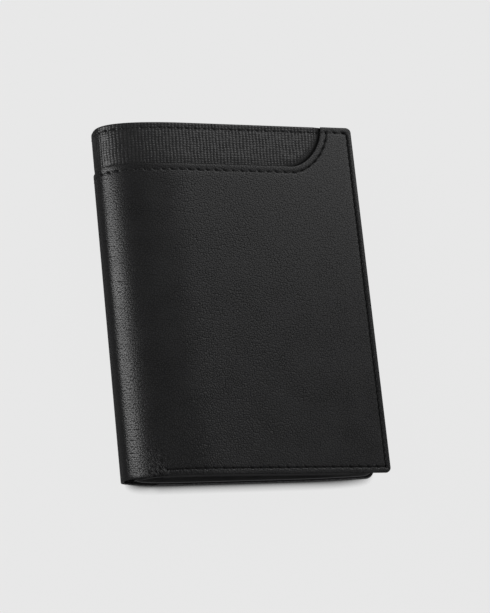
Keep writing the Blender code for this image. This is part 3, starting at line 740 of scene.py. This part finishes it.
def thread_mesh(name, rows, body_pair):
    """The thread that shows: a short arched length between each two holes of the rows."""
    verts, faces = [], []
    for row in rows:
        for a, b in zip(row.holes, row.holes[1:]):
            length = np.linalg.norm(b - a)
            forward = turned((b - a) / length, THREAD_SLANT)
            across = np.array((-forward[1], forward[0]))
            spots = np.linspace(-0.5, 0.5, THREAD_RINGS)[:, None] * length * THREAD_REACH_SHARE
            centres = (a + b) / 2 + spots * forward
            rest = BACK_REST + THREAD_RADIUS if body_pair == BACK_PAIR else 0.0
            rest = rest * eased((APEX - centres[:, 0]) / SPINE_DEPTH)
            groove = row.groove_at(centres)
            sunk = THREAD_SINK * np.clip(groove - THREAD_SINK_START, 0, 1)
            ground = thread_depth(centres) + GROOVE * groove + PULL + rest + sunk
            start = len(verts)
            for centre, depth, lift in zip(centres, ground, THREAD_LIFT_SHARES):
                for side in range(THREAD_SIDES):
                    angle = 2 * math.pi * side / THREAD_SIDES
                    flat = centre + across * math.cos(angle) * THREAD_RADIUS
                    verts.append((*flat, depth - (lift + math.sin(angle)) * THREAD_RADIUS))
            for ring in range(THREAD_RINGS - 1):
                low = start + ring * THREAD_SIDES
                high = low + THREAD_SIDES
                for side in range(THREAD_SIDES):
                    after = (side + 1) % THREAD_SIDES
                    faces.append((low + side, low + after, high + after, high + side))
            last = start + (THREAD_RINGS - 1) * THREAD_SIDES
            faces.append(tuple(start + side for side in reversed(range(THREAD_SIDES))))
            faces.append(tuple(last + side for side in range(THREAD_SIDES)))
    places = np.array(verts)
    form = bmesh.new()
    flat = form.verts.layers.float_vector.new("flat")
    made = [form.verts.new(p) for p in LINE.place(*places.T)]
    for vert, place in zip(made, places):
        vert[flat] = place
    for corners in faces:
        form.faces.new([made[i] for i in corners])
    item = made_piece(form, name, THREAD)
    follow(item)
    return item


# Short names of the shader's inputs, and the range that holds most of a noise
SOCKETS = {
    "colour": "Base Color", "rough": "Roughness", "gloss": "Specular IOR Level", "metal": "Metallic",
}
NOISE_RANGE = (0.3, 0.7)


class Nodes:
    """A material's node tree with short ways to add and join nodes."""

    def __init__(self, name):
        self.material = bpy.data.materials.new(name)
        self.material.use_nodes = True
        self.tree = self.material.node_tree
        self.shader = self.tree.nodes["Principled BSDF"]

    def add(self, kind, **settings):
        node = self.tree.nodes.new(kind)
        for key, value in settings.items():
            setattr(node, key, value)
        return node

    def put(self, source, node, socket):
        """Joins an output to a socket, or sets the socket to a value."""
        if hasattr(source, "links"):
            self.tree.links.new(source, node.inputs[socket])
        else:
            node.inputs[socket].default_value = source

    def surface(self, **values):
        """Sets the shader's inputs by their short names."""
        for name, value in values.items():
            self.put(value, self.shader, SOCKETS[name])

    def emboss(self, height, distance, strength=1.0):
        """Small relief on the whole material."""
        node = self.add("ShaderNodeBump")
        self.put(height, node, "Height")
        self.put(distance, node, "Distance")
        self.put(strength, node, "Strength")
        self.put(node.outputs["Normal"], self.shader, "Normal")

    def flat(self):
        return self.add("ShaderNodeAttribute", attribute_name="flat").outputs["Vector"]

    def share(self, name):
        return self.add("ShaderNodeAttribute", attribute_name=name).outputs["Fac"]

    def place(self):
        return self.add("ShaderNodeTexCoord").outputs["Object"]

    def raw_edge(self):
        """Uneven brightness of a cut edge."""
        return self.spread(self.noise(self.place(), RAW_SCALE, 1.0, dimensions="3D"), *RAW_RANGE)

    def drawn(self, vector, turn, stretch):
        """A flat place turned, then drawn out along one direction."""
        for across, angle in ((1.0, turn), (stretch, 0.0)):
            node = self.add("ShaderNodeMapping")
            self.put(vector, node, "Vector")
            self.put((1.0, across, 1.0), node, "Scale")
            self.put((0.0, 0.0, angle), node, "Rotation")
            vector = node.outputs["Vector"]
        return vector

    def math(self, operation, a, b, clamp=False):
        node = self.add("ShaderNodeMath", operation=operation, use_clamp=clamp)
        self.put(a, node, 0)
        self.put(b, node, 1)
        return node.outputs[0]

    def noise(self, vector, scale, detail, dimensions="2D"):
        node = self.add("ShaderNodeTexNoise", noise_dimensions=dimensions)
        self.put(vector, node, "Vector")
        self.put(scale, node, "Scale")
        self.put(detail, node, "Detail")
        return node.outputs[0]

    def cells(self, vector, scale, randomness=1.0, dimensions="2D"):
        node = self.add("ShaderNodeTexVoronoi", voronoi_dimensions=dimensions)
        self.put(vector, node, "Vector")
        self.put(scale, node, "Scale")
        self.put(randomness, node, "Randomness")
        return node.outputs["Distance"]

    def bands(self, scale, distortion=0.0):
        """Slanted bands on the flat place."""
        node = self.add("ShaderNodeTexWave", wave_type="BANDS", bands_direction="DIAGONAL")
        self.put(self.flat(), node, "Vector")
        self.put(scale, node, "Scale")
        self.put(distortion, node, "Distortion")
        return node.outputs["Fac"]

    def spread(self, value, low, high, to_low, to_high):
        """A value's range stretched to another range."""
        node = self.add("ShaderNodeMapRange")
        for socket, source in enumerate((value, low, high, to_low, to_high)):
            self.put(source, node, socket)
        return node.outputs[0]

    def varied(self, noise, low, high):
        """A noise stretched to a range."""
        return self.spread(noise, *NOISE_RANGE, low, high)

    def mix_colour(self, share, first, second):
        node = self.add("ShaderNodeMix", data_type="RGBA")
        self.put(share, node, 0)
        self.put(first, node, 6)
        self.put(second, node, 7)
        return node.outputs[2]


# Colours
BLACK_DYE = (0.0048, 0.0048, 0.0050, 1.0)
WORN_DYE = (0.0064, 0.0064, 0.0067, 1.0)
# Grain tops: partly the grain's tone, partly painted highlight
PEAK_DYE_AND_HIGHLIGHT = (0.0215, 0.0215, 0.0222, 1.0)
TEXTURED_DYE = (0.0066, 0.0066, 0.0068, 1.0)
TEXTURED_WORN = (0.0084, 0.0084, 0.0087, 1.0)
# Grain tops: partly the grain's tone, partly painted highlight
TEXTURED_PEAK_AND_HIGHLIGHT = (0.0165, 0.0165, 0.0170, 1.0)
INNER_DYE = (0.0150, 0.0150, 0.0156, 1.0)
INNER_WORN = (0.0230, 0.0230, 0.0238, 1.0)
# Painted shade in grooves, stitch holes, gaps, wrinkle valleys and beside the mouth
PAINTED_SHADE_COLOUR = (0.0025, 0.0025, 0.0026, 1.0)
# Cut edges: partly the raw edge's grey, partly painted light
RIM_DYE_AND_PAINTED_LIGHT = (0.070, 0.070, 0.072, 1.0)
THREAD_DYES = ((0.004, 0.004, 0.004, 1.0), (0.008, 0.008, 0.008, 1.0))
PLATING = ((0.05, 0.05, 0.055, 1.0), (0.09, 0.09, 0.095, 1.0))

# Grain: cells per metre, randomness, turn, stretch, and how far from its middle a pebble is painted
# bright, as grain tone and painted highlight
GRAIN_SCALE = 1800.0
GRAIN_RANDOMNESS = 0.75
GRAIN_TURN = 0.15
GRAIN_STRETCH = 0.76
PEAK_REACH = 0.43

# Wrinkles, as noise drawn out along them, with painted shade in their valleys
WRINKLE_SCALE = 3000.0
WRINKLE_TURN = math.radians(-22)
WRINKLE_STRETCH = 0.18
WRINKLE_DEPTH = 2.4
VALLEY_RANGE = (0.40, 0.52)

# Other grains and patterns, with the depth of their relief and its strength
FINE_SCALE = 3000.0
FINE_PEAKS = (0.40, 0.65)
INNER_SCALE = 1700.0
INNER_RELIEF = (0.00007, 0.6)
TWILL_SCALE = 420.0
TWILL_DISTORTION = 0.4
TWILL_RELIEF = (0.00006, 0.7)
TWIST_SCALE = 900.0
TWIST_RELIEF = (0.00004, 0.8)
SCUFF_SCALE = 1500.0
SCUFF_RELIEF = (0.00003, 0.4)
MOTTLE_SCALE = 90.0
INNER_MOTTLE_SCALE = 120.0

# Cut edges, painted lighter as raw grey and painted light, and painted shade in hollows
RAW_SCALE = 1300.0
RAW_RANGE = (0.35, 0.60, 0.2, 1.0)
RIM_ROUGHNESS = 0.55
HOLLOW_ROUGHNESS = 0.8
HOLLOW_GLOSS = 0.15

# Outer leathers: relief of the grain, dyes with tops painted brighter as grain tone and painted
# highlight, roughness by mottling, and gloss lower in dips as painted shade and higher on peaks as
# painted highlight
SMOOTH_LOOKS = {
    "relief": 0.00010, "dyes_and_highlight": (BLACK_DYE, WORN_DYE, PEAK_DYE_AND_HIGHLIGHT),
    "rough": (0.27, 0.32), "gloss": (0.19, 0.47),
}
TEXTURED_LOOKS = {
    "relief": 0.00003, "dyes_and_highlight": (TEXTURED_DYE, TEXTURED_WORN, TEXTURED_PEAK_AND_HIGHLIGHT),
    "rough": (0.28, 0.34), "gloss": (0.26, 0.42),
}


def leather_looks(nodes, flat, height, peak, painted_shade, looks):
    """Shared leather looks: grain peaks painted bright as grain tone and painted highlight, mottled dye,
    matte cut edges painted lighter as raw grey and painted light, and painted shade in hollows.
    """
    broad = nodes.noise(flat, MOTTLE_SCALE, 3.0)
    rim = nodes.share("rim")
    # Cut edges painted lighter: the raw edge's grey, and painted light
    raw_and_lit_edge = nodes.mix_colour(nodes.raw_edge(), BLACK_DYE, RIM_DYE_AND_PAINTED_LIGHT)
    nodes.emboss(height, looks["relief"])
    plain, worn_and_lit, bright = looks["dyes_and_highlight"]
    dye = nodes.mix_colour(nodes.varied(broad, 0.0, 1.0), plain, worn_and_lit)
    # Grain tops painted brighter: grain tone and painted highlight
    dye = nodes.mix_colour(peak, dye, bright)
    dye = nodes.mix_colour(rim, dye, raw_and_lit_edge)
    rough = nodes.varied(broad, *looks["rough"])
    rough = nodes.math("MAXIMUM", rough, nodes.spread(rim, 0.0, FRONT_RIM, 0.0, RIM_ROUGHNESS))
    rough = nodes.math("MAXIMUM", rough, nodes.math("MULTIPLY", painted_shade, HOLLOW_ROUGHNESS))
    # Gloss lower in grain dips as painted shade, higher on tops as painted highlight
    gloss = nodes.spread(peak, 0.0, 1.0, *looks["gloss"])
    # Painted shade in hollows lowers the gloss
    gloss = nodes.math("MULTIPLY", gloss, nodes.spread(painted_shade, 0.0, 1.0, 1.0, HOLLOW_GLOSS))
    # Painted shade in hollows darkens the colour
    nodes.surface(colour=nodes.mix_colour(painted_shade, dye, PAINTED_SHADE_COLOUR), rough=rough, gloss=gloss)


def smooth_leather_material():
    """Fine-grained nappa: small uneven pebbles, soft broad mottling, satin."""
    nodes = Nodes("smooth_leather")
    flat = nodes.flat()
    pebble = nodes.cells(nodes.drawn(flat, GRAIN_TURN, GRAIN_STRETCH), GRAIN_SCALE, GRAIN_RANDOMNESS)
    dip = nodes.math("MULTIPLY", nodes.math("MULTIPLY", pebble, pebble), -1.0)
    dip = nodes.math("MULTIPLY", dip, nodes.share("grain"))
    # Pebble tops, painted brighter in dye and gloss: grain tone and painted highlight
    peak = nodes.spread(pebble, 0.0, PEAK_REACH, 1.0, 0.0)
    crease = nodes.noise(nodes.drawn(flat, WRINKLE_TURN, WRINKLE_STRETCH), WRINKLE_SCALE, 0.0)
    wrinkle = nodes.share("wrinkle")
    # Painted shade in the wrinkles' valleys
    valley = nodes.math("MULTIPLY", nodes.spread(crease, *VALLEY_RANGE, 1.0, 0.0), wrinkle)
    painted_shade = nodes.math("MAXIMUM", nodes.share("painted_shade"), valley, clamp=True)
    raised = nodes.math("MULTIPLY", nodes.math("MULTIPLY", crease, wrinkle), WRINKLE_DEPTH)
    peak = nodes.math("MULTIPLY", peak, peak)
    leather_looks(nodes, flat, nodes.math("ADD", dip, raised), peak, painted_shade, SMOOTH_LOOKS)
    return nodes.material


def textured_leather_material():
    """Pressed crosshatch leather: fine grain over ribs that are real relief."""
    nodes = Nodes("textured_leather")
    flat = nodes.flat()
    fine = nodes.noise(flat, FINE_SCALE, 3.0)
    # Tops of the fine grain, painted brighter in dye and gloss: grain tone and painted highlight
    peak = nodes.spread(fine, *FINE_PEAKS, 0.0, 1.0)
    leather_looks(nodes, flat, fine, peak, nodes.share("painted_shade"), TEXTURED_LOOKS)
    return nodes.material


def inner_leather_material():
    """Thin inner leather with a tight grain."""
    nodes = Nodes("inner_leather")
    place = nodes.place()
    broad = nodes.noise(place, INNER_MOTTLE_SCALE, 3.0, dimensions="3D")
    nodes.emboss(nodes.cells(place, INNER_SCALE, dimensions="3D"), *INNER_RELIEF)
    dye = nodes.mix_colour(nodes.varied(broad, 0.0, 0.8), INNER_DYE, INNER_WORN)
    # Cut edges painted lighter: the raw edge's grey, and painted light
    nodes.surface(colour=nodes.mix_colour(nodes.share("rim"), dye, RIM_DYE_AND_PAINTED_LIGHT),
                  rough=nodes.varied(broad, 0.46, 0.56))
    return nodes.material


def lining_material():
    """Fine twill cloth."""
    nodes = Nodes("lining_cloth")
    twill = nodes.bands(TWILL_SCALE, TWILL_DISTORTION)
    nodes.emboss(twill, *TWILL_RELIEF)
    nodes.surface(colour=nodes.mix_colour(twill, BLACK_DYE, WORN_DYE), rough=0.85, gloss=0.25)
    return nodes.material


def thread_material():
    """Black waxed polyester thread, with its twist as fine slanted bands."""
    nodes = Nodes("black_thread")
    twist = nodes.bands(TWIST_SCALE)
    nodes.emboss(twist, *TWIST_RELIEF)
    nodes.surface(colour=nodes.mix_colour(twist, *THREAD_DYES), rough=0.65, gloss=0.15)
    return nodes.material


def snap_material():
    """Black-plated press stud, finely scuffed."""
    nodes = Nodes("snap_metal")
    scuff = nodes.noise(nodes.place(), SCUFF_SCALE, 4.0, dimensions="3D")
    nodes.emboss(scuff, *SCUFF_RELIEF)
    nodes.surface(colour=nodes.mix_colour(scuff, *PLATING), rough=nodes.varied(scuff, 0.22, 0.38),
                  metal=1.0)
    return nodes.material


SMOOTH = smooth_leather_material()
TEXTURED = textured_leather_material()
INNER = inner_leather_material()
LINING = lining_material()
THREAD = thread_material()
SNAP = snap_material()


def make_smooth_leather():
    """The smooth outer leather in two halves that meet on the middle of the spine."""
    rows = [ROWS["back_side"], ROWS["back_foot"], ROWS["back_mouth"]]
    corners = [(0.0, BACK_SHORTER, BACK_CORNER), (LINE.lower_fold, BACK_SHORTER, 0.0),
               (APEX, SPINE_FOOT, 0.0), (APEX, MOUTH, 0.0), (0.0, MOUTH, 0.0)]
    back = leather_piece("smooth_leather_back", corners, SMOOTH_PLY, SMOOTH, BACK_PAIR,
                         relief=sewn_relief(rows, BACK_REST), zones=sewn_zones(rows),
                         under=hemmed_under)
    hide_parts("back_leather")
    rows = [ROWS["front_head"], ROWS["front_side"], ROWS["front_foot"], ROWS["front_mouth"]]
    front = leather_piece("smooth_leather_front", smooth_front_corners(), SMOOTH_PLY, SMOOTH,
                          FRONT_PAIR, relief=sewn_relief(rows), zones=sewn_zones(rows),
                          under=smooth_under)
    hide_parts("front_leather", "spine_leather")


def make_textured_leather():
    """The textured leather in two halves; on the front it runs on to the foot as the pocket's back."""
    low = MOUTH - BAND_TUCK
    zones = band_zones(MOUTH - BAND_RAMP)
    corners = [(0.0, low, 0.0), (APEX, low, 0.0), (APEX, HEIGHT, 0.0), (0.0, HEIGHT, BACK_CORNER)]
    back = leather_piece("textured_leather_back", corners, BAND_PLY, TEXTURED, BACK_PAIR,
                         relief=textured_relief([ROWS["back_head"]], BACK_REST), zones=zones,
                         top=band_top)
    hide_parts("back_textured_band")
    side = LINE.end - PANEL_INSET
    corners = [(APEX, low, 0.0), (LINE.upper_fold, low, 0.0), (LINE.upper_fold, PANEL_INSET, 0.0),
               (side, PANEL_INSET, FRONT_PLY_CORNER), (side, HEIGHT, INNER_CORNER), (APEX, HEIGHT, 0.0)]
    front = leather_piece("textured_leather_front", corners, BAND_PLY, TEXTURED, FRONT_PAIR,
                          relief=textured_relief([ROWS["front_head"]]), zones=zones, top=band_top)
    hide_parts("spine_textured_band", "front_textured_panel")


def strip_top(points):
    """Depth of the inner leather's outer face."""
    return strip_depth(points[:, 0])


def strip_under(points):
    """Depth of the inner leather's inner face."""
    return strip_depth(points[:, 0]) + PANEL_PLY[1]


def make_inner_ply(name, ply, inset, material, slot, nodes, **faces):
    """A ply inside the wallet in two halves."""
    foot = SPINE_FOOT + inset
    head = HEIGHT - inset
    back = [(inset, BACK_SHORTER + inset, INNER_CORNER), (LINE.lower_fold, BACK_SHORTER + inset, 0.0),
            (APEX, foot, 0.0), (APEX, head, 0.0), (inset, head, INNER_CORNER)]
    front = [(APEX, foot, 0.0), (LINE.upper_fold, inset, 0.0),
             (LINE.end - inset, inset, FRONT_PLY_CORNER), (LINE.end - inset, head, INNER_CORNER),
             (APEX, head, 0.0)]
    for half, corners, pair, replaced in (("back", back, BACK_PAIR, nodes[0]),
                                          ("front", front, FRONT_PAIR, nodes[1])):
        piece = leather_piece(f"{name}_{half}", corners, ply, material, pair, **faces)
        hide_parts(*replaced)


def make_inner_plies():
    """Lining and inner leather."""
    make_inner_ply("lining", LINING_PLY, LINING_INSET, LINING, "lining_cloth",
                   (("back_lining",), ("front_lining", "spine_lining")))
    make_inner_ply("inner_leather", PANEL_PLY, PANEL_INSET, INNER, "inner_leather",
                   (("back_inner_panel",), ("front_inner_panel", "spine_inner_strip")),
                   top=strip_top, under=strip_under)


def make_last_slot():
    """The lowest card slot of the front cover, its foot corner rounded like the plies over it."""
    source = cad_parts["front_card_slot_4"]
    form = bmesh.new()
    form.from_mesh(source.data)
    bmesh.ops.transform(form, matrix=source.matrix_world, verts=form.verts[:])
    bmesh.ops.remove_doubles(form, verts=form.verts[:], dist=WELD_DISTANCE)
    corner = Vector((WIDTH / 2 - PANEL_INSET, PANEL_INSET - HEIGHT / 2, 0.0))
    centre = corner + Vector((-FRONT_PLY_CORNER, FRONT_PLY_CORNER, 0.0))
    for turn in np.linspace(0, math.pi / 2, SLOT_CORNER_CUTS + 2)[1:-1]:
        out = Vector((math.sin(turn), -math.cos(turn), 0.0))
        parts = form.verts[:] + form.edges[:] + form.faces[:]
        bmesh.ops.bisect_plane(form, geom=parts, dist=SAME_PLACE, plane_no=out, clear_outer=True,
                               plane_co=centre + out * FRONT_PLY_CORNER)
        bmesh.ops.holes_fill(form, edges=form.edges[:])
    item = made_piece(form, "last_card_slot", INNER, smooth=False)
    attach(item, "front_cover")
    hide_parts("front_card_slot_4")


def make_threads():
    """Thread along every row, on whichever leather is uppermost there."""
    for half, pair in (("front", FRONT_PAIR), ("back", BACK_PAIR)):
        rows = [row for name, row in ROWS.items() if name.startswith(half)]
        thread_mesh(f"thread_{half}", rows, pair)


def dress_cad_nodes():
    """Materials for the CAD pieces that stay."""
    for name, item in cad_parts.items():
        material = SNAP if name.startswith("snap_") else INNER
        for slot in item.material_slots:
            slot.material = material


# Camera, fitted to the wallet's outline in the photograph
CAMERA_PLACE = (-0.26890, -0.28525, 0.86548)
CAMERA_TURN = (19.2907, -15.7226, -5.9427)
CAMERA_SENSOR = 36.0
CAMERA_FOCAL_SHARE = 2754.7 / 613


def make_camera():
    """The camera at the photograph's place, found from the wallet's outline."""
    data = bpy.data.cameras.new("camera")
    data.sensor_fit = "VERTICAL"
    data.sensor_height = CAMERA_SENSOR
    data.lens = CAMERA_SENSOR * CAMERA_FOCAL_SHARE
    data.clip_start = 0.01
    item = linked("camera", data)
    item.location = CAMERA_PLACE
    item.rotation_euler = [math.radians(v) for v in CAMERA_TURN]
    bpy.context.scene.camera = item


def area_light(name, place, size, size_y, power):
    """A soft rectangular lamp aimed at the wallet."""
    data = bpy.data.lights.new(name, "AREA")
    data.shape = "RECTANGLE"
    data.size = size
    data.size_y = size_y
    data.energy = power
    item = linked(name, data)
    item.location = place
    item.rotation_euler = (Vector(LAMP_AIM) - place).to_track_quat("-Z", "Y").to_euler()
    return item


# Floor, which the camera sees mostly as an even glow, with a painted contact shadow where the wallet
# touches it
FLOOR_SIZE = 6.0
FLOOR_DROP = 0.00002
FLOOR_COLOUR = (0.20, 0.20, 0.20, 1.0)
BACKDROP_COLOUR = (0.86, 0.86, 0.86, 1.0)
CONTACT_REACH = 0.0031
CONTACT_RANGE = (0.50, 1.0, 0.10, 1.0)
CAMERA_GLOW = 0.92
WORLD_LEVEL = 0.33
LAMP_AIM = (0.0, 0.0, 0.01)

# Lamps: direction from the wallet, distance, width, height and radiance
LAMPS = {
    "head": ((0.45, 0.62, 0.66), 0.8, 0.5, 0.4, 3.60),
    "free_edge": ((0.78, -0.12, 0.60), 0.9, 0.4, 0.4, 2.2),
    "spine_strip": ((-0.79, 0.30, 0.50), 0.9, 0.14, 0.9, 7.3),
    "low_strip": ((-0.88, 0.28, 0.37), 0.9, 0.14, 0.9, 8.7),
    "foot": ((-0.25, -0.96, 0.12), 1.0, 1.2, 0.2, 4.5),
}


def make_studio():
    """Pale floor, soft lamps and a dim even world."""
    bpy.ops.mesh.primitive_plane_add(size=FLOOR_SIZE, location=(0.0, 0.0, -FLOOR_DROP))
    floor = bpy.context.object
    floor.name = "floor"
    nodes = Nodes("floor")
    nodes.surface(colour=FLOOR_COLOUR, rough=0.9, gloss=0.0)
    # Painted contact shadow: the glow darkens near the wallet by occlusion
    near = nodes.add("ShaderNodeAmbientOcclusion", samples=16)
    nodes.put(CONTACT_REACH, near, "Distance")
    contact = nodes.spread(near.outputs["AO"], *CONTACT_RANGE)
    glow = nodes.add("ShaderNodeEmission")
    nodes.put(nodes.mix_colour(contact, (0.0, 0.0, 0.0, 1.0), BACKDROP_COLOUR), glow, "Color")
    path = nodes.add("ShaderNodeLightPath")
    seen = nodes.math("MULTIPLY", path.outputs["Is Camera Ray"], CAMERA_GLOW)
    nodes.material.cycles.emission_sampling = "NONE"
    mix = nodes.add("ShaderNodeMixShader")
    for socket, source in enumerate((seen, nodes.shader.outputs[0], glow.outputs[0])):
        nodes.put(source, mix, socket)
    nodes.put(mix.outputs[0], nodes.tree.nodes["Material Output"], "Surface")
    floor.data.materials.append(nodes.material)
    world = bpy.data.worlds.new("studio")
    bpy.context.scene.world = world
    world.use_nodes = True
    background = world.node_tree.nodes["Background"]
    background.inputs["Color"].default_value = (1.0, 1.0, 1.0, 1.0)
    background.inputs["Strength"].default_value = WORLD_LEVEL
    for name, (direction, distance, size, size_y, radiance) in LAMPS.items():
        place = Vector(direction).normalized() * distance
        lamp = area_light(name, place, size, size_y, radiance * math.pi * size * size_y)
        lamp.visible_glossy = name != "foot"


bpy.context.scene.view_settings.view_transform = "Standard"
make_camera()
make_smooth_leather()
make_textured_leather()
make_inner_plies()
make_last_slot()
make_threads()
dress_cad_nodes()
make_studio()
